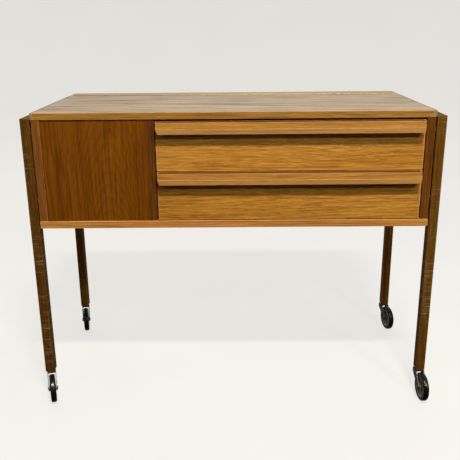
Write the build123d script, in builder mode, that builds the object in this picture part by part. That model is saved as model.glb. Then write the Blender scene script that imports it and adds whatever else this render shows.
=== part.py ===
from build123d import *
from math import cos, radians, sin
import os

# Sewing table on castors: a teak case with a hinged lid, a deep compartment on the left and
# two drawers on the right, held between two side frames of legs and rails, on swivel castors.
# Millimetres. X to the right, Y to the rear, Z up. The floor is Z = 0.
# The origin is on the floor, under the middle of the whole object.

# ---------------------------------------------------------------- driving dimensions
table_top = 674.0  # floor to the lid's upper face
lid_width = 850.0
lid_depth = 345.0
lid_thickness = 14.5
lid_clearance = 0.4  # between the closed lid and the case below it
lipping = 5.0  # solid wood edge round the lid
lid_round = 0.8

case_front = -182.5  # plane of the leg fronts and the lid's front edge
case_depth = 413.0
panel_thickness = 17.0
side_outer = 424.0  # outer face of a side panel from the middle
side_setback = 1.5
bottom_half_width = 424.5
bottom_thickness = 16.0
case_height = 251.5  # lid's upper face to the underside of the bottom panel
rear_panel_thickness = 12.0
divider_left = -183.5
divider_setback = 2.5
bay_front_setback = 3.0
bay_front_thickness = 10.0
bay_front_chamfer = 0.8
dust_panel_thickness = 3.0
dust_panel_setback = 20.0

leg_width = 20.0
leg_depth = 25.0
leg_inner = 427.0  # inner face of a leg from the middle
leg_top = 662.5
leg_bottom = 68.0
leg_edge = 1.0
rear_leg_front = 376.0  # front of the case to the front of a rear leg
bolt_depths = (45.0, 190.0)  # below the lid's upper face
bolt_shank = 3.0
bolt_head = 6.0
bolt_head_depth = 3.0
bolt_reach = 13.0  # how far a bolt goes into its leg
bolt_hole_spare = 1.0
head_inset = 0.2  # a countersunk head below its surface
thread_ease = 0.1
spacer_radius = 8.0
bore_gap = 0.15
frame_rail_height = 40.0  # rail between the tops of a front and a rear leg
tenon_width = 8.0
tenon_length = 8.0
tenon_shoulder = 6.0
tenon_gap = 0.2

drawer_gap = 3.0  # drawer front to the bay's sides
drawer_setback = 2.0
drawer_height = 106.0
drawer_tops = {"upper": 19.2, "lower": 127.2}  # below the lid's upper face
drawer_front_thickness = 16.0
drawer_length = 372.0
drawer_side_thickness = 11.0
drawer_side_drop = 14.0  # drawer front's top to the top of the sides
drawer_side_lift = 8.0  # drawer front's bottom to the bottom of the sides
drawer_back_thickness = 10.0
drawer_back_drop = 6.0
drawer_bottom_thickness = 4.0
drawer_bottom_lift = 5.0
drawer_bottom_tongue = 4.0
groove_gap = 0.2
runner_height = 9.4
runner_width = 8.2
runner_gap = 0.3
runner_depth = 5.6  # depth of the runner groove in a drawer side
runner_start = 26.0  # front of the case to the runner's front end
runner_length = 352.0

pull_reach = 20.0
pull_top_reach = 18.0
pull_face = 14.3  # top edge to the arris where the sloping face turns upright
pull_height = 25.2
pull_lip = 4.0
pull_undercut = 17.0
pull_round = 1.0
pull_insets = {"left": 2.3, "right": 4.5}
pull_end_cuts = {"left": 4.0, "right": 1.0}
cut_margin = 1.0  # how far a cutting outline runs past the wood

hinge_rise = 0.25  # hinge axis above the lid's upper face
knuckle_radius = 1.5
knuckle_ease = 0.5  # knuckle to the next leaf's plate
hinge_pin_radius = 0.7
hinge_bore = 0.76
leaf_thickness = 1.0
leaf_gap = 0.2  # hinge axis to the near face of a leaf
leaf_height = 13.0
knuckle_length = 24.6
knuckle_pitch = 25.0
knuckle_count = 33
seam_chamfer = 1.2
hinge_screw_pitch = 75.0
hinge_screw_count = 11
hinge_screw_drop = 8.5
hinge_screw_head = 2.2
hinge_screw_shank = 1.1
hinge_screw_length = 11.0
hinge_screw_tip = 1.2
hinge_screw_taper = 0.6  # shank radius at the start of the tip
hinge_head_inset = 0.1
hinge_head_ease = 0.25

castor_trail = 28.0
wheel_radius = 32.5
tread_width = 13.0
tread_round = 4.0
rim_radius = 22.0
rim_width = 11.0
rim_lip_radius = 21.0
rim_foot_radius = 19.0
hub_bore = 3.05
hub_boss_radius = 7.0
hub_foot_radius = 10.0
hub_boss_width = 15.0
hub_web_width = 7.0
axle_radius = 3.0
axle_head_radius = 4.6
axle_head_width = 1.6
axle_crown_radius = 2.8
fork_gap = 16.0
fork_plate = 2.0
fork_length = 22.0
fork_crown_top = 64.6
fork_crown_thickness = 2.0
fork_eye_radius = 6.5
fork_front_angle = 30.0  # where the plate's front edge meets the eye
fork_back_angle = 197.0
fork_neck = 8.0
wheel_slot_length = 84.0
stem_radius = 4.0
stem_shoulder_radius = 7.0
stem_shoulder = 0.8
stem_length = 32.0
stem_chamfer = 1.0
socket_bore = 4.06
socket_radius = 5.5
socket_flange_radius = 9.0
socket_flange = 1.2
socket_length = 36.0
castor_yaw = {  # how far each castor is turned, seen from above
    "front_left": 17.0,
    "front_right": 5.0,
    "rear_left": 12.0,
    "rear_right": 12.0,
}

# ---------------------------------------------------------------- derived places
lid_underside = table_top - lid_thickness
case_top = lid_underside - lid_clearance
bottom_underside = table_top - case_height
bottom_top = bottom_underside + bottom_thickness
side_inner = side_outer - panel_thickness
divider_right = divider_left + panel_thickness
case_back = case_front + case_depth
rear_panel_front = case_back - rear_panel_thickness
hinge_y = case_front + lid_depth + leaf_gap + leaf_thickness
hinge_z = table_top + hinge_rise
rear_rail_front = hinge_y + leaf_gap + leaf_thickness
knuckle_start = -knuckle_pitch * knuckle_count / 2
leg_middle = leg_inner + leg_width / 2
leg_rows = {
    "front": case_front + leg_depth / 2,
    "rear": case_front + rear_leg_front + leg_depth / 2,
}
leg_places = {
    "front_left": (-leg_middle, leg_rows["front"]),
    "front_right": (leg_middle, leg_rows["front"]),
    "rear_left": (-leg_middle, leg_rows["rear"]),
    "rear_right": (leg_middle, leg_rows["rear"]),
}
drawer_face = case_front + drawer_setback
drawer_left = divider_right + drawer_gap
drawer_right = side_inner - drawer_gap

os.makedirs("parts", exist_ok=True)


def save(piece, name):
    """Label a finished piece and write it."""
    piece.part.label = name
    export_step(piece.part, f"parts/{name}.step")


def block(x, y, z):
    """A rectangular board between three pairs of limits, extruded from its plan."""
    with BuildPart() as board:
        with BuildSketch(Plane.XY.offset(z[0])):
            with Locations(((x[0] + x[1]) / 2, (y[0] + y[1]) / 2)):
                Rectangle(x[1] - x[0], y[1] - y[0])
        extrude(amount=z[1] - z[0])
    return board


# ---------------------------------------------------------------- case panels
for side, sign in (("left", -1), ("right", 1)):
    with BuildPart() as side_panel:
        with BuildSketch(Plane.YZ.offset(sign * side_inner)):
            with Locations((case_front + (side_setback + case_depth) / 2, (bottom_top + case_top) / 2)):
                Rectangle(case_depth - side_setback, case_top - bottom_top)
        extrude(amount=sign * panel_thickness)
        inner_face = Plane(origin=(sign * side_inner, 0, 0), x_dir=(0, -sign, 0), z_dir=(-sign, 0, 0))
        with Locations(inner_face):
            for row in leg_rows.values():
                for depth in bolt_depths:
                    with Locations((-sign * row, table_top - depth)):
                        CounterSinkHole(bolt_shank + bore_gap, bolt_head + bore_gap, panel_thickness)
    save(side_panel, f"{side}_side_panel")

bottom_panel = block(
    (-bottom_half_width, bottom_half_width), (case_front, case_back), (bottom_underside, bottom_top)
)
save(bottom_panel, "bottom_panel")

divider_panel = block(
    (divider_left, divider_right), (case_front + divider_setback, rear_panel_front), (bottom_top, case_top)
)
save(divider_panel, "divider_panel")

rear_panel = block((-side_inner, side_inner), (rear_panel_front, case_back), (bottom_top, case_top))
save(rear_panel, "rear_panel")

with BuildPart() as rear_top_rail:
    with BuildSketch(Plane.YZ.offset(-lid_width / 2)):
        with BuildLine():
            Polyline(
                (rear_rail_front, case_top),
                (case_back, case_top),
                (case_back, table_top),
                (rear_rail_front + seam_chamfer, table_top),
                (rear_rail_front, table_top - seam_chamfer),
                close=True,
            )
        make_face()
    extrude(amount=lid_width)
    with Locations(Plane(origin=(0, rear_rail_front, hinge_z), x_dir=(1, 0, 0), z_dir=(0, -1, 0))):
        with Locations((0, -hinge_screw_drop)):
            with GridLocations(hinge_screw_pitch, 1, hinge_screw_count, 1):
                Hole(hinge_screw_shank + bore_gap, hinge_screw_length + hinge_screw_tip)
save(rear_top_rail, "rear_top_rail")

bay_front_face = case_front + bay_front_setback
with BuildPart() as compartment_front:
    with BuildSketch(Plane.XZ.offset(-bay_front_face)):
        with Locations(((divider_left - side_inner) / 2, (bottom_top + case_top) / 2)):
            Rectangle(divider_left + side_inner, case_top - bottom_top)
    extrude(amount=-bay_front_thickness)
    chamfer(compartment_front.faces().sort_by(Axis.Y)[0].edges(), bay_front_chamfer)
save(compartment_front, "compartment_front")

dust_panel = block(
    (divider_right, side_inner),
    (case_front + dust_panel_setback, rear_panel_front),
    (case_top - dust_panel_thickness, case_top),
)
save(dust_panel, "dust_panel")

# ---------------------------------------------------------------- legs and their fixings
for place, (leg_x, leg_y) in leg_places.items():
    sign = 1 if leg_x > 0 else -1
    with BuildPart() as leg:
        with BuildSketch(Plane.XY.offset(leg_bottom)):
            with Locations((leg_x, leg_y)):
                Rectangle(leg_width, leg_depth)
        extrude(amount=leg_top - leg_bottom)
        chamfer(leg.edges().filter_by(Axis.Z), leg_edge)
        with Locations(Plane(origin=(leg_x, leg_y, leg_bottom), z_dir=(0, 0, -1))):
            Hole(socket_radius + bore_gap, socket_length + bore_gap)
        inner_face = Plane(origin=(sign * leg_inner, leg_y, table_top), x_dir=(0, -sign, 0), z_dir=(-sign, 0, 0))
        with Locations(inner_face):
            for depth in bolt_depths:
                with Locations((0, -depth)):
                    Hole(bolt_shank + bore_gap, bolt_reach + bolt_hole_spare)
        inward = 1 if leg_y < 0 else -1
        with BuildSketch(Plane.XZ.offset(-(leg_y + inward * leg_depth / 2))):
            with Locations((leg_x, leg_top - frame_rail_height / 2)):
                Rectangle(tenon_width + 2 * tenon_gap, frame_rail_height - 2 * tenon_shoulder + 2 * tenon_gap)
        extrude(amount=inward * (tenon_length + tenon_gap), mode=Mode.SUBTRACT)
    save(leg, f"{place}_leg")

rail_front = leg_rows["front"] + leg_depth / 2
rail_back = leg_rows["rear"] - leg_depth / 2
for side, sign in (("left", -1), ("right", 1)):
    with BuildPart() as frame_rail:
        for width, height, overhang in (
            (leg_width, frame_rail_height, 0),
            (tenon_width, frame_rail_height - 2 * tenon_shoulder, tenon_length),
        ):
            with BuildSketch(Plane.XZ.offset(-(rail_front - overhang))):
                with Locations((sign * leg_middle, leg_top - frame_rail_height / 2)):
                    Rectangle(width, height)
            extrude(amount=-(rail_back - rail_front + 2 * overhang))
    save(frame_rail, f"{side}_frame_rail")

with BuildPart() as leg_spacers:
    for leg_x, leg_y in leg_places.values():
        sign = 1 if leg_x > 0 else -1
        for depth in bolt_depths:
            with BuildSketch(Plane.YZ.offset(sign * side_outer)):
                with Locations((leg_y, table_top - depth)):
                    Circle(spacer_radius)
                    Circle(bolt_shank + bore_gap, mode=Mode.SUBTRACT)
            extrude(amount=sign * (leg_inner - side_outer))
save(leg_spacers, "leg_spacers")

bolt_length = leg_inner - side_inner + bolt_reach
with BuildPart() as leg_bolts:
    for leg_x, leg_y in leg_places.values():
        sign = 1 if leg_x > 0 else -1
        for depth in bolt_depths:
            bolt_plane = Plane(
                origin=(sign * side_inner, leg_y, table_top - depth), x_dir=(sign, 0, 0), z_dir=(0, -1, 0)
            )
            with BuildSketch(bolt_plane):
                with BuildLine():
                    Polyline(
                        (head_inset, 0),
                        (head_inset, bolt_head - head_inset),
                        (bolt_head_depth + head_inset, bolt_shank - thread_ease),
                        (bolt_length, bolt_shank - thread_ease),
                        (bolt_length, 0),
                        close=True,
                    )
                make_face()
            revolve(axis=Axis(bolt_plane.origin, (1, 0, 0)))
save(leg_bolts, "leg_bolts")

with BuildPart() as castor_sockets:
    for leg_x, leg_y in leg_places.values():
        with BuildSketch(Plane.XY.offset(leg_bottom - socket_flange)):
            with Locations((leg_x, leg_y)):
                Circle(socket_flange_radius)
                Circle(socket_bore, mode=Mode.SUBTRACT)
        extrude(amount=socket_flange)
        with BuildSketch(Plane.XY.offset(leg_bottom)):
            with Locations((leg_x, leg_y)):
                Circle(socket_radius)
                Circle(socket_bore, mode=Mode.SUBTRACT)
        extrude(amount=socket_length)
save(castor_sockets, "castor_sockets")

# ---------------------------------------------------------------- lid
lid_front = case_front
lid_back = case_front + lid_depth
lid_half = lid_width / 2
with BuildPart() as lid_panel:
    with BuildSketch(Plane.YZ.offset(-lid_half + lipping)):
        with BuildLine():
            Polyline(
                (lid_front + lipping, lid_underside),
                (lid_back, lid_underside),
                (lid_back, table_top - seam_chamfer),
                (lid_back - seam_chamfer, table_top),
                (lid_front + lipping, table_top),
                close=True,
            )
        make_face()
    extrude(amount=2 * (lid_half - lipping))
    with Locations(Plane(origin=(0, lid_back, hinge_z), x_dir=(-1, 0, 0), z_dir=(0, 1, 0))):
        with Locations((0, -hinge_screw_drop)):
            with GridLocations(hinge_screw_pitch, 1, hinge_screw_count, 1):
                Hole(hinge_screw_shank + bore_gap, hinge_screw_length + hinge_screw_tip)
save(lid_panel, "lid_panel")

with BuildPart() as lid_front_lipping:
    with BuildSketch(Plane.YZ.offset(-lid_half + lipping)):
        with Locations((lid_front + lipping / 2, lid_underside + lid_thickness / 2)):
            Rectangle(lipping, lid_thickness)
    extrude(amount=2 * (lid_half - lipping))
    front_edges = lid_front_lipping.faces().sort_by(Axis.Y)[0].edges()
    fillet(front_edges.filter_by(Axis.X), lid_round)
save(lid_front_lipping, "lid_front_lipping")

for side, sign in (("left", -1), ("right", 1)):
    with BuildPart() as end_lipping:
        with BuildSketch(Plane.YZ.offset(sign * (lid_half - lipping))):
            with BuildLine():
                Polyline(
                    (lid_front, lid_underside),
                    (lid_back, lid_underside),
                    (lid_back, table_top - seam_chamfer),
                    (lid_back - seam_chamfer, table_top),
                    (lid_front, table_top),
                    close=True,
                )
            make_face()
        extrude(amount=sign * lipping)
        front_edges = end_lipping.faces().sort_by(Axis.Y)[0].edges()
        fillet(front_edges.filter_by(Axis.X), lid_round)
    save(end_lipping, f"lid_{side}_lipping")

# ---------------------------------------------------------------- continuous hinge
# sign -1 is the lid's leaf, in front of the axis; sign 1 is the fixed leaf behind it.
plate_drop = knuckle_radius + knuckle_ease
for name, sign, first in (("hinge_lid_leaf", -1, 0), ("hinge_fixed_leaf", 1, 1)):
    with BuildPart() as leaf:
        leaf_near = hinge_y + sign * leaf_gap
        leaf_far = hinge_y + sign * (leaf_gap + leaf_thickness)
        with BuildSketch(Plane.YZ.offset(knuckle_start)):
            with Locations(((leaf_near + leaf_far) / 2, hinge_z - (plate_drop + leaf_height) / 2)):
                Rectangle(leaf_thickness, leaf_height - plate_drop)
        extrude(amount=knuckle_pitch * knuckle_count)
        for turn in range(first, knuckle_count, 2):
            knuckle_x = knuckle_start + turn * knuckle_pitch + (knuckle_pitch - knuckle_length) / 2
            with BuildSketch(Plane.YZ.offset(knuckle_x)):
                with Locations((hinge_y, hinge_z)):
                    Circle(knuckle_radius)
                with Locations(((leaf_near + leaf_far) / 2, hinge_z - (plate_drop + knuckle_ease) / 2)):
                    Rectangle(leaf_thickness, plate_drop + knuckle_ease)
                with Locations((hinge_y, hinge_z)):
                    Circle(hinge_bore, mode=Mode.SUBTRACT)
            extrude(amount=knuckle_length)
        screw_row = Plane(origin=(0, leaf_near, hinge_z), x_dir=(sign, 0, 0), z_dir=(0, -sign, 0))
        with Locations(screw_row):
            with Locations((0, -hinge_screw_drop)):
                with GridLocations(hinge_screw_pitch, 1, hinge_screw_count, 1):
                    CounterSinkHole(hinge_screw_shank + bore_gap, hinge_screw_head, leaf_thickness)
    save(leaf, name)

    with BuildPart() as screws:
        for index in range(hinge_screw_count):
            screw_x = (index - (hinge_screw_count - 1) / 2) * hinge_screw_pitch
            screw_plane = Plane(
                origin=(screw_x, leaf_near, hinge_z - hinge_screw_drop), x_dir=(0, sign, 0), z_dir=(1, 0, 0)
            )
            with BuildSketch(screw_plane):
                with BuildLine():
                    Polyline(
                        (hinge_head_inset, 0),
                        (hinge_head_inset, hinge_screw_head - hinge_head_ease),
                        (hinge_screw_head - hinge_screw_shank, hinge_screw_shank),
                        (hinge_screw_length, hinge_screw_taper),
                        (hinge_screw_length + hinge_screw_tip, 0),
                        close=True,
                    )
                make_face()
            revolve(axis=Axis(screw_plane.origin, (0, 1, 0)))
    save(screws, name.replace("leaf", "screws"))

with BuildPart() as hinge_pin:
    with BuildSketch(Plane.YZ.offset(knuckle_start)):
        with Locations((hinge_y, hinge_z)):
            Circle(hinge_pin_radius)
    extrude(amount=knuckle_pitch * knuckle_count)
save(hinge_pin, "hinge_pin")

# ---------------------------------------------------------------- drawers
for which, top_drop in drawer_tops.items():
    top = table_top - top_drop
    foot = top - drawer_height
    side_top = top - drawer_side_drop
    side_foot = foot + drawer_side_lift
    floor_z = side_foot + drawer_bottom_lift
    box_front = drawer_face + drawer_front_thickness
    box_back = drawer_face + drawer_length
    back_front = box_back - drawer_back_thickness
    groove_middle = (side_top + side_foot) / 2

    with BuildPart() as drawer_front:
        with BuildSketch(Plane.XZ.offset(-drawer_face)):
            with Locations(((drawer_left + drawer_right) / 2, (top + foot) / 2)):
                Rectangle(drawer_right - drawer_left, drawer_height)
        extrude(amount=-drawer_front_thickness)
        tongue_slot = Plane.XZ.offset(-box_front)
        with BuildSketch(tongue_slot):
            with Locations(((drawer_left + drawer_right) / 2, floor_z + drawer_bottom_thickness / 2)):
                Rectangle(
                    drawer_right - drawer_left - 2 * drawer_side_thickness + 2 * drawer_bottom_tongue,
                    drawer_bottom_thickness + 2 * groove_gap,
                )
        extrude(amount=drawer_bottom_tongue + groove_gap, mode=Mode.SUBTRACT)
    save(drawer_front, f"{which}_drawer_front")

    pull_left = drawer_left + pull_insets["left"]
    pull_right = drawer_right - pull_insets["right"]
    with BuildPart() as pull:
        with BuildSketch(Plane.YZ.offset(pull_left)):
            with BuildLine():
                Polyline(
                    (drawer_face, top),
                    (drawer_face - pull_top_reach, top),
                    (drawer_face - pull_reach, top - pull_face),
                    (drawer_face - pull_reach, top - pull_height),
                    (drawer_face - pull_reach + pull_lip, top - pull_height),
                    (drawer_face, top - pull_undercut),
                    close=True,
                )
            make_face()
        extrude(amount=pull_right - pull_left)
        front_edges = pull.edges().filter_by(Axis.X).sort_by(Axis.Y)[:3].sort_by(Axis.Z)
        fillet([front_edges[0], front_edges[-1]], pull_round)
        for end, way, cut in ((pull_left, 1, pull_end_cuts["left"]), (pull_right, -1, pull_end_cuts["right"])):
            with BuildSketch(Plane.XZ.offset(-(drawer_face - pull_reach - cut_margin))):
                with BuildLine():
                    Polyline(
                        (end - way * cut_margin, top - pull_face),
                        (end, top - pull_face),
                        (end + way * cut, top - pull_height),
                        (end + way * cut, top - pull_height - cut_margin),
                        (end - way * cut_margin, top - pull_height - cut_margin),
                        close=True,
                    )
                make_face()
            extrude(amount=-(pull_reach + cut_margin), mode=Mode.SUBTRACT)
    save(pull, f"{which}_drawer_pull")

    for side, sign in (("left", 1), ("right", -1)):
        outer = drawer_left if side == "left" else drawer_right
        with BuildPart() as drawer_side:
            with BuildSketch(Plane.YZ.offset(outer)):
                with Locations(((box_front + box_back) / 2, (side_top + side_foot) / 2)):
                    Rectangle(box_back - box_front, side_top - side_foot)
            extrude(amount=sign * drawer_side_thickness)
            with BuildSketch(Plane.YZ.offset(outer)):
                with Locations(((box_front + box_back) / 2, groove_middle)):
                    Rectangle(box_back - box_front, runner_height + 2 * runner_gap)
            extrude(amount=sign * runner_depth, mode=Mode.SUBTRACT)
            with BuildSketch(Plane.YZ.offset(outer + sign * drawer_side_thickness)):
                with Locations(((box_front + back_front) / 2, floor_z + drawer_bottom_thickness / 2)):
                    Rectangle(back_front - box_front, drawer_bottom_thickness + 2 * groove_gap)
            extrude(amount=-sign * (drawer_bottom_tongue + groove_gap), mode=Mode.SUBTRACT)
        save(drawer_side, f"{which}_drawer_{side}_side")

    box_left = drawer_left + drawer_side_thickness
    box_right = drawer_right - drawer_side_thickness
    drawer_back = block((box_left, box_right), (back_front, box_back), (side_foot, side_top - drawer_back_drop))
    save(drawer_back, f"{which}_drawer_back")

    drawer_bottom = block(
        (box_left - drawer_bottom_tongue, box_right + drawer_bottom_tongue),
        (box_front - drawer_bottom_tongue, back_front - groove_gap),
        (floor_z, floor_z + drawer_bottom_thickness),
    )
    save(drawer_bottom, f"{which}_drawer_bottom")

    with BuildPart() as runners:
        for wall, sign in ((divider_right, 1), (side_inner, -1)):
            with BuildSketch(Plane.YZ.offset(wall)):
                with Locations((case_front + runner_start + runner_length / 2, groove_middle)):
                    Rectangle(runner_length, runner_height)
            extrude(amount=sign * runner_width)
    save(runners, f"{which}_drawer_runners")

# ---------------------------------------------------------------- castors
# Each castor is drawn along its own plane: local X runs from the swivel to the axle.
fork_half = fork_gap / 2 + fork_plate
crown_underside = fork_crown_top - fork_crown_thickness


def on_eye(angle):
    """A point on the rim of a fork's axle eye, in the fork's own plane."""
    return (
        castor_trail + fork_eye_radius * cos(radians(angle)),
        wheel_radius + fork_eye_radius * sin(radians(angle)),
    )


for place, (leg_x, leg_y) in leg_places.items():
    yaw = radians(castor_yaw[place])
    forward = Vector(sin(yaw), -cos(yaw), 0)
    across = Vector(cos(yaw), sin(yaw), 0)
    swivel = Vector(leg_x, leg_y, 0)
    axle_point = swivel + forward * castor_trail + Vector(0, 0, wheel_radius)
    fork_side = Plane(origin=swivel, x_dir=forward, z_dir=forward.cross(Vector(0, 0, 1)))

    with BuildPart() as fork:
        with BuildSketch(fork_side):
            with Locations((0, fork_crown_top - fork_crown_thickness / 2)):
                Rectangle(fork_length, fork_crown_thickness)
        extrude(amount=fork_half, both=True)
        with BuildSketch(fork_side):
            with BuildLine():
                Polyline(
                    (-fork_length / 2, crown_underside),
                    (fork_length / 2, crown_underside),
                    on_eye(fork_front_angle),
                    on_eye(fork_back_angle),
                    (-fork_length / 2, crown_underside - fork_neck),
                    close=True,
                )
            make_face()
            with Locations((castor_trail, wheel_radius)):
                Circle(fork_eye_radius)
        extrude(amount=fork_half, both=True)
        with BuildSketch(fork_side):
            with Locations((castor_trail / 2, crown_underside / 2)):
                Rectangle(wheel_slot_length, crown_underside)
        extrude(amount=fork_gap / 2, both=True, mode=Mode.SUBTRACT)
        with BuildSketch(fork_side):
            with Locations((castor_trail, wheel_radius)):
                Circle(axle_radius)
        extrude(amount=fork_half, both=True, mode=Mode.SUBTRACT)
        with BuildSketch(Plane.XY.offset(crown_underside)):
            with Locations((leg_x, leg_y)):
                Circle(stem_radius)
        extrude(amount=fork_crown_thickness, mode=Mode.SUBTRACT)
    save(fork, f"{place}_castor_fork")

    with BuildPart() as stem:
        with BuildSketch(Plane.XY.offset(crown_underside)):
            with Locations((leg_x, leg_y)):
                Circle(stem_radius)
        extrude(amount=stem_length + leg_bottom - crown_underside)
        with BuildSketch(Plane.XY.offset(fork_crown_top)):
            with Locations((leg_x, leg_y)):
                Circle(stem_shoulder_radius)
        extrude(amount=stem_shoulder)
        chamfer(stem.faces().sort_by(Axis.Z)[-1].edges(), stem_chamfer)
    save(stem, f"{place}_castor_stem")

    wheel_plane = Plane(origin=axle_point, x_dir=across, z_dir=forward)
    wheel_axis = Axis(axle_point, across)
    with BuildPart() as axle:
        with BuildSketch(wheel_plane):
            with BuildLine():
                Polyline(
                    (-fork_half - axle_head_width, 0),
                    (-fork_half - axle_head_width, axle_crown_radius),
                    (-fork_half, axle_head_radius),
                    (-fork_half, axle_radius),
                    (fork_half, axle_radius),
                    (fork_half, axle_head_radius),
                    (fork_half + axle_head_width, axle_crown_radius),
                    (fork_half + axle_head_width, 0),
                    close=True,
                )
            make_face()
        revolve(axis=wheel_axis)
    save(axle, f"{place}_castor_axle")

    with BuildPart() as wheel_centre:
        with BuildSketch(wheel_plane):
            with BuildLine():
                Polyline(
                    (-hub_boss_width / 2, hub_bore),
                    (-hub_boss_width / 2, hub_boss_radius),
                    (-hub_web_width / 2, hub_foot_radius),
                    (-hub_web_width / 2, rim_foot_radius),
                    (-rim_width / 2, rim_lip_radius),
                    (-rim_width / 2, rim_radius),
                    (rim_width / 2, rim_radius),
                    (rim_width / 2, rim_lip_radius),
                    (hub_web_width / 2, rim_foot_radius),
                    (hub_web_width / 2, hub_foot_radius),
                    (hub_boss_width / 2, hub_boss_radius),
                    (hub_boss_width / 2, hub_bore),
                    close=True,
                )
            make_face()
        revolve(axis=wheel_axis)
    save(wheel_centre, f"{place}_castor_wheel")

    with BuildPart() as tyre:
        with BuildSketch(wheel_plane):
            with Locations((0, (rim_radius + wheel_radius) / 2)):
                Rectangle(tread_width, wheel_radius - rim_radius)
            fillet(vertices().group_by(Axis.Z)[-1], tread_round)
        revolve(axis=wheel_axis)
    save(tyre, f"{place}_castor_tyre")
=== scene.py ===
import math

import bmesh
import bpy
from mathutils import Euler, Matrix, Vector


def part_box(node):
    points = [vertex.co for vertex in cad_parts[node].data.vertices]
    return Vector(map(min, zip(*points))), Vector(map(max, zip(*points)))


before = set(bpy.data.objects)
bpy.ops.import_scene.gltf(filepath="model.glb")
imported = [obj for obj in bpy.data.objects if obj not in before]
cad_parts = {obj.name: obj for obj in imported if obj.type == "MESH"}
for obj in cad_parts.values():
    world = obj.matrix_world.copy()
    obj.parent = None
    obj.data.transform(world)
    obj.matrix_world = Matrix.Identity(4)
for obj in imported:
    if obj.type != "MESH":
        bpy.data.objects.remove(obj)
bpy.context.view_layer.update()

# A sewing table on castors: teak case, lid and drawers between two stained leg frames.
# Metres, in the frame's axes: X to the right, Y to the rear, Z up, the floor at Z = 0.
MM = 0.001
CASTORS = ("front_left", "front_right", "rear_left", "rear_right")


# ---------------------------------------------------------------- camera
def place_camera(offset, pitch, yaw, roll, lens):
    """A camera at an offset from the middle of the lid's upper front edge, looking down at the table."""
    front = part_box("lid_front_lipping")[0].y
    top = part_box("lid_panel")[1].z
    camera = bpy.data.objects.new("camera", bpy.data.cameras.new("camera"))
    bpy.context.scene.collection.objects.link(camera)
    turn = Euler((0, 0, math.radians(yaw))).to_matrix()
    tilt = Euler((math.radians(90 - pitch), 0, 0)).to_matrix()
    bank = Euler((0, 0, math.radians(roll))).to_matrix()
    stand = Matrix.Translation(Vector((0, front, top)) + Vector(offset))
    camera.matrix_world = stand @ (turn @ tilt @ bank).to_4x4()
    camera.data.lens = lens
    camera.data.sensor_width = 36
    bpy.context.scene.camera = camera


place_camera(offset=(0.0021, -1.3585, 0.1726), pitch=17.57, yaw=0.43, roll=-0.51, lens=50.72)


# ---------------------------------------------------------------- material nodes
def srgb(red, green, blue):
    """A display colour, 0 to 255 a channel, as linear RGBA."""
    linear = [c / 255 / 12.92 if c <= 10 else ((c / 255 + 0.055) / 1.055) ** 2.4 for c in (red, green, blue)]
    return (*linear, 1)


class Surface:
    """A Principled material under construction, with short calls for its nodes."""

    def __init__(self, name):
        self.material = bpy.data.materials.new(name)
        self.material.use_nodes = True
        self.tree = self.material.node_tree
        self.shader = self.tree.nodes["Principled BSDF"]

    def put(self, socket, value):
        if isinstance(value, bpy.types.NodeSocket):
            self.tree.links.new(value, socket)
        else:
            socket.default_value = value

    def node(self, kind, output=0, inputs=(), **settings):
        made = self.tree.nodes.new(kind)
        for key, value in settings.items():
            setattr(made, key, value)
        for key, value in dict(inputs).items():
            self.put(made.inputs[key], value)
        return made.outputs[output]

    def set(self, **inputs):
        for key, value in inputs.items():
            self.put(self.shader.inputs[key.replace("_", " ")], value)
        return self.material

    def vector(self, operation, first, second=(0, 0, 0)):
        return self.node("ShaderNodeVectorMath", operation=operation, inputs={0: first, 1: second})

    def place(self, offset=(0, 0, 0)):
        """Object coordinates in metres, moved by this offset."""
        return self.vector("ADD", self.node("ShaderNodeTexCoord", 3), offset)

    def along(self, vector, axis):
        """One of the vector's three parts, by the axis's letter."""
        return self.node("ShaderNodeSeparateXYZ", "xyz".index(axis), inputs={0: vector})

    def noise(self, vector, scale=1.0, detail=3.0, rough=0.5):
        return self.node("ShaderNodeTexNoise", inputs={"Vector": vector, "Scale": scale, "Detail": detail,
                                                       "Roughness": rough})

    def math(self, operation, first, second=0.0, third=0.0):
        return self.node("ShaderNodeMath", operation=operation, inputs={0: first, 1: second, 2: third})

    def span(self, value, low, high, to_low=0.0, to_high=1.0):
        return self.node("ShaderNodeMapRange", inputs={"Value": value, "From Min": low, "From Max": high,
                                                       "To Min": to_low, "To Max": to_high})

    def mix(self, factor, first, second, blend="MIX"):
        return self.node("ShaderNodeMix", 2, data_type="RGBA", blend_type=blend,
                         inputs={0: factor, 6: first, 7: second})

    def arris(self, at_board, half, width):
        """1 on the edges of a board with these half sizes, 0 beyond this width from them."""
        inside = self.vector("SUBTRACT", tuple(half), self.vector("ABSOLUTE", at_board))
        x, y, z = (self.along(inside, axis) for axis in "xyz")
        nearer_two = self.math("MINIMUM", self.math("MAXIMUM", x, y), z)
        second_nearest = self.math("MAXIMUM", self.math("MINIMUM", x, y), nearer_two)
        return self.span(second_nearest, width * 0.5, width, 1, 0)

    def bump(self, height, distance, strength):
        inputs = {"Height": height, "Distance": distance, "Strength": strength}
        return self.node("ShaderNodeBump", inputs=inputs)


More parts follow.
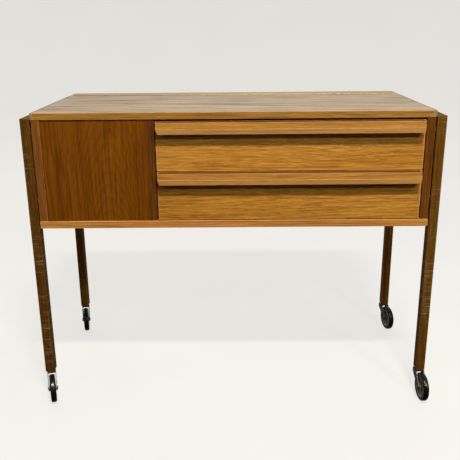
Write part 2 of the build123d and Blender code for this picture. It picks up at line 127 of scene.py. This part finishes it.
# ---------------------------------------------------------------- wood
# Light, middle and dark tone of each wood, as display colours.
LID = ((194, 172, 141), (174, 150, 117), (124, 96, 67))
LID_END = ((164, 140, 108), (140, 116, 84), (104, 78, 50))
LID_EDGE = ((180, 133, 60), (152, 101, 34), (100, 54, 10))
FRONT = ((211, 153, 60), (181, 119, 33), (122, 64, 8))
PULL = ((194, 139, 60), (170, 113, 34), (116, 66, 11))
PANEL = ((138, 81, 11), (112, 59, 3), (63, 24, 0))
DIVIDER = ((114, 65, 18), (95, 50, 10), (57, 25, 4))
SIDE = {
    "left": ((146, 91, 38), (118, 65, 15), (74, 32, 5)),
    "right": ((126, 72, 22), (101, 54, 9), (59, 27, 2)),
}
BOARD = ((217, 155, 81), (191, 124, 49), (131, 73, 22))
# The rear legs' tones are lighter than the front legs': painted light for the dimmer light at the back of the
# table.
LEG = {
    "front": ((129, 87, 18), (84, 47, 3), (43, 20, 1)),
    "rear": ((150, 98, 18), (102, 57, 5), (56, 27, 2)),
}
BEECH = ((214, 176, 128), (196, 154, 106), (150, 106, 66))
PLY = ((206, 170, 126), (190, 150, 104), (146, 108, 70))

PULL_LIP = (214, 166, 130)  # tint below the arris of a pull's face
PULL_FACE = 14.3 * MM  # a pull's top edge to that arris
SCRATCH = (176, 160, 118)
PALE_ARRIS_LIFT = (36, 28, 32)  # how much lighter a pale arris is than the light tone: part wear, part painted highlight
PALE_ARRIS_WIDTH = 1.2 * MM
TOP_SHADE = (62, 28, 8)  # painted shade on a pull's upper face
TOP_SHADE_DEPTH = 0.2 * MM

SWAY = 12 * MM  # the most that the grain wanders sideways
WOOD_RELIEF = 0.25 * MM
PORES = 0.35  # how much of the dark tone a pore takes

# Noise cells to the metre: across the grain and along it, or in X, Y and Z where there are three.
SWAY_CELLS = (6.0, 1.8)
RIPPLE_CELLS = (40.0, 55.0)
PATCH_CELLS = (14.0, 5.0)
BROAD_CELLS = (16.0, 1.3)
VESSEL_CELLS = (1500.0, 65.0)
SCRATCH_CELLS = (26.0, 620.0)
STREAK_ALONG = 7.0
FINE_ACROSS = 700.0
SPOT_CELLS = (11.0, 11.0, 7.0)
RUB_CELLS = (70.0, 70.0, 70.0)


def ring_radius(surface, at_board, half, along, heart, tilt):
    """Distance from the log's heart, which lies beside the board's middle and tilts away along the grain."""
    wide, deep = sorted((axis for axis in "xyz" if axis != along), key=lambda axis: -half["xyz".index(axis)])
    side = surface.math("SUBTRACT", surface.along(at_board, wide), heart[0])
    drift = surface.math("MULTIPLY_ADD", surface.along(at_board, along), tilt, heart[1])
    depth = surface.math("ADD", drift, surface.along(at_board, deep))
    square = surface.math("MULTIPLY", side, side)
    return surface.math("SQRT", surface.math("ADD", square, surface.math("MULTIPLY", depth, depth)))


def worn_and_highlit_edges(surface, colour, place, at_board, half, light, wear_and_highlight, ridge):
    """Pales a board's arrises, partly as rubbed wear and partly as a painted highlight. A ridge is one more
    arris, this far below the board's top.
    """
    rub = surface.noise(surface.vector("MULTIPLY", place, RUB_CELLS), detail=3.0)
    edge = surface.arris(at_board, half, PALE_ARRIS_WIDTH)
    if ridge:
        # The pale line along the ridge is a painted highlight.
        away = surface.math("SUBTRACT", surface.along(at_board, "z"), half.z - ridge)
        ridge_highlight = surface.span(surface.math("ABSOLUTE", away), PALE_ARRIS_WIDTH * 0.3, PALE_ARRIS_WIDTH, 0.8, 0)
        edge = surface.math("MAXIMUM", edge, ridge_highlight)
        colour = surface.mix(surface.span(away, 0.0, -PALE_ARRIS_WIDTH, 0.0, 0.14), colour, srgb(*PULL_LIP))
    pale_arris = surface.math("MULTIPLY", edge, surface.span(rub, 0.35, 0.6, wear_and_highlight * 0.4, wear_and_highlight))
    return surface.mix(pale_arris, colour, srgb(*(min(255, tone + lift) for tone, lift in zip(light, PALE_ARRIS_LIFT))))


def wood(name, along, tones, seed, heart=(0.05, 0.05), tilt=0.08, pitch=0.005, contours=0.3, streaks=0.6,
         flecks=0.15, across=290.0, stroke=22.0, ripple=0.0, rough=0.42, level=0.3, wear_and_highlight=0.0, ridge=None,
         top_shade=0.0, scratches=0.0):
    """Sawn and oiled wood for the board of this name, with its grain along one axis.

    The growth rings lie this pitch apart round the log's heart and show as cathedrals or straight lines. The
    streaks and flecks on top of them have this many noise cells to the metre across the grain, and a fleck's
    stroke is its cells to the metre along it. The upper face can be darkened with painted shade.
    """
    surface = Surface(name)
    low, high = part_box(name)
    half = (high - low) / 2
    light, middle, dark = (srgb(*tone) for tone in tones)

    def layer(where, cells, detail, rough=0.5):
        scale = tuple(cells[1] if axis == along else cells[0] for axis in "xyz")
        return surface.noise(surface.vector("MULTIPLY", where, scale), detail=detail, rough=rough)

    at_board = surface.place(tuple(-(low + high) / 2))
    place = surface.place((1.7 * seed, 2.3 * seed, 3.1 * seed))
    sway = surface.span(layer(place, SWAY_CELLS, 2.0), 0, 1, -SWAY, SWAY)
    if ripple:
        wave = surface.span(layer(place, RIPPLE_CELLS, 2.0), 0, 1, -ripple, ripple)
        patch = surface.span(layer(place, PATCH_CELLS, 1.0), 0.45, 0.65)
        sway = surface.math("MULTIPLY_ADD", wave, patch, sway)
    sideways = {axis.upper(): sway for axis in "xyz" if axis != along}
    shift = surface.node("ShaderNodeCombineXYZ", inputs=sideways)
    swayed = surface.vector("ADD", place, shift)
    radius = ring_radius(surface, surface.vector("ADD", at_board, shift), half, along, heart, tilt)
    broad = layer(swayed, BROAD_CELLS, 2.0, 0.45)
    medium = layer(swayed, (across, STREAK_ALONG), 4.0, 0.6)
    fleck = layer(swayed, (across * 1.1, stroke), 2.0)
    fine = layer(swayed, (FINE_ACROSS, stroke * 1.5), 2.0, 0.6)
    pore = surface.span(layer(place, VESSEL_CELLS, 1.0), 0.6, 0.72)

    colour = surface.mix(surface.span(broad, 0.3, 0.7, 0.1, 0.7), middle, light)
    uneven = surface.math("MULTIPLY", medium, 0.7)
    growth = surface.math("FRACT", surface.math("MULTIPLY_ADD", radius, 1 / pitch, uneven))
    strength = surface.span(broad, 0.3, 0.7, contours * 1.2, contours * 0.7)
    colour = surface.mix(surface.math("MULTIPLY", surface.math("POWER", growth, 3.0), strength), colour, dark)
    colour = surface.mix(surface.span(medium, 0.5, 0.66, 0.0, streaks), colour, dark)
    colour = surface.mix(surface.span(medium, 0.46, 0.32, 0.0, streaks), colour, light)
    colour = surface.mix(surface.span(fleck, 0.54, 0.66, 0.0, flecks), colour, light)
    colour = surface.mix(surface.span(fleck, 0.46, 0.34, 0.0, flecks), colour, dark)
    tone = surface.span(fine, 0.36, 0.64, 0.82, 1.16)
    grey = surface.node("ShaderNodeCombineColor", inputs={"Red": tone, "Green": tone, "Blue": tone})
    colour = surface.mix(1.0, colour, grey, "MULTIPLY")
    colour = surface.mix(surface.math("MULTIPLY", pore, PORES), colour, dark)
    height = surface.math("MULTIPLY_ADD", fine, 0.35, surface.math("MULTIPLY", pore, -0.8))
    gloss = surface.math("ADD", surface.span(medium, 0.3, 0.7, rough - 0.05, rough + 0.07),
                         surface.math("MULTIPLY", pore, 0.12))
    if scratches:
        hair = layer(place, SCRATCH_CELLS, 2.0, 0.6)
        spot = surface.noise(surface.vector("MULTIPLY", place, SPOT_CELLS), detail=2.0)
        mark = surface.math("MULTIPLY", surface.span(hair, 0.58, 0.66), surface.span(spot, 0.46, 0.58))
        colour = surface.mix(surface.math("MULTIPLY", mark, scratches), colour, srgb(*SCRATCH))
        height = surface.math("MULTIPLY_ADD", mark, -0.8, height)
    # Painted shade: the board's upper face is darkened.
    if top_shade:
        top = surface.along(at_board, "z")
        shaded_top = surface.span(top, half.z - TOP_SHADE_DEPTH, half.z - TOP_SHADE_DEPTH / 3, 0.0, top_shade)
        colour = surface.mix(shaded_top, colour, srgb(*TOP_SHADE))
    # Pale arrises: partly wear, partly a painted highlight.
    if wear_and_highlight:
        colour = worn_and_highlit_edges(surface, colour, place, at_board, half, tones[0], wear_and_highlight, ridge)
    return surface.set(Base_Color=colour, Roughness=gloss, Normal=surface.bump(height, WOOD_RELIEF, 0.6),
                       Specular_IOR_Level=level)


# ---------------------------------------------------------------- metal, rubber and plastic
# Bright and tarnished tone of each metal, then clean and dusty tone of what is moulded.
BRASS = ((178, 146, 84), (120, 92, 48))
ZINC = ((150, 146, 136), (96, 92, 82))
FORK_STEEL = ((112, 108, 98), (58, 50, 36))
SPACER = ((34, 28, 24), (70, 60, 50))
WHEEL = ((112, 94, 48), (136, 122, 84))
TYRE = ((10, 9, 10), (24, 21, 22))

TOOL_LINES = 0.08 * MM
MOULD_GRAIN = 0.06 * MM
RIM_HIGHLIGHT = (190, 182, 172)  # painted highlight circle inside a castor's tyre
RIM_RADIUS = 22.6 * MM
RIM_HALF = 1.7 * MM


def metal(name, tones, rough=0.4, brushed=(40.0, 40.0, 900.0)):
    """Drawn or pressed metal with fine tool lines and cloudy tarnish."""
    surface = Surface(name)
    bright, tarnished = (srgb(*tone) for tone in tones)
    place = surface.place()
    lines = surface.noise(surface.vector("MULTIPLY", place, brushed), detail=2.0)
    cloud = surface.noise(place, scale=130.0, detail=4.0, rough=0.65)
    shade = surface.mix(surface.span(cloud, 0.42, 0.72, 0.0, 0.4), bright, tarnished)
    gloss = surface.math("ADD", surface.span(lines, 0.3, 0.7, rough - 0.06, rough + 0.08),
                         surface.span(cloud, 0.45, 0.75, 0.0, 0.22))
    relief = surface.bump(lines, TOOL_LINES, 0.4)
    return surface.set(Base_Color=shade, Roughness=gloss, Metallic=1.0, Normal=relief)


def moulded(name, tones, rough=0.3, ring=None):
    """Moulded rubber or plastic with handling dust. A ring is a painted highlight circle about this centre.
    """
    surface = Surface(name)
    clean, dusty = (srgb(*tone) for tone in tones)
    place = surface.place()
    grain = surface.noise(place, scale=900.0, detail=2.0)
    cloud = surface.noise(place, scale=55.0, detail=5.0, rough=0.7)
    shade = surface.mix(surface.span(cloud, 0.45, 0.75, 0.0, 0.5), clean, dusty)
    if ring:
        # A painted highlight circle about the ring's centre.
        away = surface.node("ShaderNodeVectorMath", 1, operation="DISTANCE", inputs={0: place, 1: ring})
        band = surface.math("ABSOLUTE", surface.math("SUBTRACT", away, RIM_RADIUS))
        shade = surface.mix(surface.span(band, RIM_HALF * 0.6, RIM_HALF, 1.0, 0.0), shade, srgb(*RIM_HIGHLIGHT))
    gloss = surface.math("ADD", surface.span(grain, 0.3, 0.7, rough - 0.03, rough + 0.05),
                         surface.span(cloud, 0.45, 0.75, 0.0, 0.2))
    return surface.set(Base_Color=shade, Roughness=gloss, Normal=surface.bump(grain, MOULD_GRAIN, 0.5))


# ---------------------------------------------------------------- finish of the CAD nodes
SEAM = 0.02 * MM  # points closer than this are joined
SHARP = math.radians(30)  # edges that turn by more than this are softened

# Widths of the softened arrises.
ARRIS = 0.7 * MM
LEG_ARRIS = 1.0 * MM
FINE_ARRIS = 0.3 * MM
PIN_ARRIS = 0.2 * MM


def finish_node(name, material, edge=ARRIS, smooth=False):
    """Gives a CAD node its material and softens its arrises. A turned or bent piece is shaded smooth."""
    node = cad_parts[name]
    node.data.materials.clear()
    node.data.materials.append(material)
    weld = node.modifiers.new("weld", "WELD")
    weld.merge_threshold = SEAM
    if edge:
        bevel = node.modifiers.new("arris", "BEVEL")
        bevel.width = edge
        bevel.segments = 2
        bevel.limit_method = "ANGLE"
        bevel.angle_limit = SHARP
    for face in node.data.polygons:
        face.use_smooth = smooth
    if smooth:
        weighted = node.modifiers.new("weighted", "WEIGHTED_NORMAL")
        weighted.mode = "FACE_AREA_WITH_ANGLE"
        weighted.weight = 90


def finish_lid():
    panel = wood("lid_panel", "x", LID, 1.3, heart=(0.06, 0.09), tilt=0.06, pitch=0.007, contours=0.5,
                 streaks=0.9, flecks=0.4, across=75.0, stroke=5.0, rough=0.38, level=0.5)
    finish_node("lid_panel", panel, edge=0)
    lipping = wood("lid_front_lipping", "x", LID_EDGE, 4.1, heart=(0.2, 0.05), stroke=10.0, wear_and_highlight=0.75)
    finish_node("lid_front_lipping", lipping, edge=0)
    for side in ("left", "right"):
        label = f"lid_{side}_lipping"
        finish_node(label, wood(label, "y", LID_END, 5.3, heart=(0.2, 0.05)), edge=0)
    rail = wood("rear_top_rail", "x", LID, 7.7, heart=(0.25, 0.04), flecks=0.4, across=75.0, stroke=5.0,
                wear_and_highlight=0.5)
    finish_node("rear_top_rail", rail)


def finish_drawer(which, seed):
    front = wood(f"{which}_drawer_front", "x", FRONT, seed, heart=(0.01, 0.03), tilt=0.07, pitch=0.006,
                 contours=0.4, flecks=0.25, stroke=30.0, ripple=0.003, wear_and_highlight=1.0)
    finish_node(f"{which}_drawer_front", front)
    pull = wood(f"{which}_drawer_pull", "x", PULL, seed + 3.3, heart=(0.2, 0.05), contours=0.2, streaks=0.5,
                stroke=14.0, wear_and_highlight=1.0, ridge=PULL_FACE, top_shade=0.85)
    finish_node(f"{which}_drawer_pull", pull, edge=0)
    for place in ("left_side", "right_side", "runners"):
        label = f"{which}_drawer_{place}"
        finish_node(label, wood(label, "y", BEECH, seed + 1.1, contours=0.15, streaks=0.25))
    label = f"{which}_drawer_back"
    finish_node(label, wood(label, "x", BEECH, seed + 2.1, contours=0.15, streaks=0.25))
    label = f"{which}_drawer_bottom"
    finish_node(label, wood(label, "x", PLY, seed + 4.1, pitch=0.012), edge=0)


def finish_case():
    bay_front = wood("compartment_front", "z", PANEL, 0.7, heart=(0.03, 0.12), tilt=0.12, pitch=0.0035,
                     streaks=0.5, stroke=9.0, level=0.1)
    finish_node("compartment_front", bay_front, edge=FINE_ARRIS)
    divider = wood("divider_panel", "z", DIVIDER, 3.7, heart=(0.1, 0.1), level=0.15, wear_and_highlight=0.5)
    finish_node("divider_panel", divider)
    for side in ("left", "right"):
        label = f"{side}_side_panel"
        panel = wood(label, "z", SIDE[side], 5.1 + len(side), heart=(0.03, 0.1), tilt=0.1, pitch=0.008,
                     level=0.15, wear_and_highlight=0.8)
        finish_node(label, panel)
    bottom = wood("bottom_panel", "x", BOARD, 6.1, heart=(0.2, 0.05), stroke=10.0, wear_and_highlight=0.7)
    finish_node("bottom_panel", bottom)
    rear = wood("rear_panel", "x", SIDE["left"], 2.6, heart=(0.02, 0.07), tilt=0.05, pitch=0.01)
    finish_node("rear_panel", rear)
    finish_node("dust_panel", wood("dust_panel", "x", PLY, 3.3, pitch=0.012), edge=0)


def finish_frames():
    stained = dict(heart=(0.1, 0.05), pitch=0.004, rough=0.55, level=0.12)
    for place in CASTORS:
        label = f"{place}_leg"
        row = place.split("_")[0]
        leg = wood(label, "z", LEG[row], 0.9 + len(place), streaks=0.5, scratches=0.5, wear_and_highlight=0.4, **stained)
        finish_node(label, leg, edge=LEG_ARRIS)
    for side in ("left", "right"):
        label = f"{side}_frame_rail"
        rail = wood(label, "y", LEG["front"], 8.2, scratches=0.3, **stained)
        finish_node(label, rail, edge=LEG_ARRIS)


def finish_hinge():
    brass = metal("brass", BRASS, brushed=(900.0, 40.0, 40.0))
    for part in ("fixed_leaf", "lid_leaf", "pin", "fixed_screws", "lid_screws"):
        finish_node(f"hinge_{part}", brass, edge=0)


def finish_castor(place, zinc, fork_steel):
    finish_node(f"{place}_castor_fork", fork_steel, edge=FINE_ARRIS, smooth=True)
    finish_node(f"{place}_castor_axle", fork_steel, edge=PIN_ARRIS, smooth=True)
    finish_node(f"{place}_castor_stem", zinc, edge=PIN_ARRIS, smooth=True)
    low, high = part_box(f"{place}_castor_tyre")
    centre = (low + high) / 2
    wheel = moulded(f"{place}_wheel", WHEEL, ring=centre)
    tyre = moulded(f"{place}_tyre", TYRE, rough=0.24, ring=centre)
    finish_node(f"{place}_castor_wheel", wheel, edge=FINE_ARRIS, smooth=True)
    finish_node(f"{place}_castor_tyre", tyre, edge=FINE_ARRIS, smooth=True)


def finish_fittings():
    zinc = metal("zinc_steel", ZINC)
    fork_steel = metal("fork_steel", FORK_STEEL, rough=0.42)
    finish_node("leg_bolts", zinc, edge=0)
    finish_node("castor_sockets", zinc, edge=0)
    finish_node("leg_spacers", moulded("spacer", SPACER), edge=0)
    for place in CASTORS:
        finish_castor(place, zinc, fork_steel)


finish_lid()
finish_drawer("upper", 2.0)
finish_drawer("lower", 3.4)
finish_case()
finish_frames()
finish_hinge()
finish_fittings()


# ---------------------------------------------------------------- studio
FLOOR_RADIUS = 3.5
COVE_RADIUS = 2.5
COVE_HEIGHT = 5.0
AROUND = 72  # faces round the cove

FRONT_FILL = 0.12  # strength of the surround in front of the table
REAR_FILL = 0.55  # its strength behind
LOW_FILL = 0.3  # the share of it that is left below the horizon
SURROUND_TINT = (1.0, 0.985, 0.955, 1)
LAMP_TINT = (1.0, 0.97, 0.92)
LAMP_AIM = (0, -0.1, 0.6)
LAMPS = {
    "high_lamp": dict(place=(0.3, -1.78, 2.82), size=(0.5, 0.12), power=82),
    "right_lamp": dict(place=(1.45, -2.4, 2.08), size=(0.3, 0.2), power=23),
    "left_lamp": dict(place=(-1.6, -2.4, 1.9), size=(0.3, 0.2), power=6),
    "rear_lamp": dict(place=(-1.2, 2.3, 2.2), size=(0.9, 0.6), power=12),
}


def cove_profile(steps=14):
    """Radius and height of the pale studio: a flat floor that curves up into a round wall."""
    profile = [(0.0, 0.0), (FLOOR_RADIUS * 0.5, 0.0)]
    for step in range(steps + 1):
        angle = math.pi / 2 * step / steps
        profile.append((FLOOR_RADIUS + COVE_RADIUS * math.sin(angle), COVE_RADIUS * (1 - math.cos(angle))))
    return profile + [(FLOOR_RADIUS + COVE_RADIUS, COVE_HEIGHT)]


def lathe(name, profile):
    """A smooth surface of revolution about Z from (radius, height) points."""
    mesh = bmesh.new()
    turns = [2 * math.pi * index / AROUND for index in range(AROUND)]
    rings = []
    for radius, height in profile:
        if radius == 0:
            rings.append([mesh.verts.new((0, 0, height))] * AROUND)
        else:
            around = [(radius * math.cos(turn), radius * math.sin(turn), height) for turn in turns]
            rings.append([mesh.verts.new(point) for point in around])
    for lower, upper in zip(rings, rings[1:]):
        for index in range(AROUND):
            beside = (index + 1) % AROUND
            corners = [lower[index], lower[beside], upper[beside], upper[index]]
            # In the middle of the floor two of the corners are one vertex.
            mesh.faces.new([corner for at, corner in enumerate(corners) if corner not in corners[:at]])
    data = bpy.data.meshes.new(name)
    mesh.to_mesh(data)
    mesh.free()
    for face in data.polygons:
        face.use_smooth = True
    made = bpy.data.objects.new(name, data)
    bpy.context.scene.collection.objects.link(made)
    return made


def plain_floor():
    """A pale, faintly clouded floor that also gives off light of its own."""
    surface = Surface("studio_floor")
    grain = surface.noise(surface.place(), scale=2.5, detail=4)
    colour = surface.mix(surface.span(grain, 0.35, 0.65), srgb(120, 118, 114), srgb(126, 124, 120))
    return surface.set(Base_Color=colour, Roughness=0.7, Emission_Color=srgb(228, 226, 222),
                       Emission_Strength=0.9)


def surround_light():
    """A dim room in front of the table and a brighter one behind it, as the table's surfaces see them."""
    world = bpy.data.worlds.new("surround")
    bpy.context.scene.world = world
    world.use_nodes = True
    nodes = world.node_tree.nodes
    link = world.node_tree.links.new
    place = nodes.new("ShaderNodeTexCoord")
    split = nodes.new("ShaderNodeSeparateXYZ")
    link(place.outputs["Generated"], split.inputs[0])

    def slope(axis, low, high, to_low, to_high):
        ramp = nodes.new("ShaderNodeMapRange")
        ramp.interpolation_type = "SMOOTHSTEP"
        limits = {"From Min": low, "From Max": high, "To Min": to_low, "To Max": to_high}
        for key, value in limits.items():
            ramp.inputs[key].default_value = value
        link(split.outputs[axis], ramp.inputs["Value"])
        return ramp.outputs[0]

    total = nodes.new("ShaderNodeMath")
    total.operation = "MULTIPLY"
    link(slope("Y", -0.25, 0.75, FRONT_FILL, REAR_FILL), total.inputs[0])
    link(slope("Z", -0.12, 0.06, LOW_FILL, 1.0), total.inputs[1])
    nodes["Background"].inputs["Color"].default_value = SURROUND_TINT
    link(total.outputs[0], nodes["Background"].inputs["Strength"])


def hang_lamp(name, place, size, power):
    """A soft lamp that the camera does not see. The one behind is kept out of the reflections as well."""
    light = bpy.data.objects.new(name, bpy.data.lights.new(name, "AREA"))
    light.data.shape = "RECTANGLE"
    light.data.size, light.data.size_y = size
    light.data.energy = power
    light.data.color = LAMP_TINT
    light.location = place
    light.rotation_euler = (Vector(LAMP_AIM) - light.location).to_track_quat("-Z", "Y").to_euler()
    light.visible_camera = False
    light.visible_glossy = name != "rear_lamp"
    bpy.context.scene.collection.objects.link(light)


def studio():
    """A pale cove that only the camera sees, with lamps high in front, lower at both sides, and behind."""
    bpy.context.scene.view_settings.view_transform = "Standard"
    surround_light()
    floor = lathe("studio_floor", cove_profile())
    floor.data.materials.append(plain_floor())
    floor.visible_diffuse = False
    floor.visible_glossy = False
    floor.visible_shadow = False
    for name, lamp in LAMPS.items():
        hang_lamp(name, **lamp)


studio()
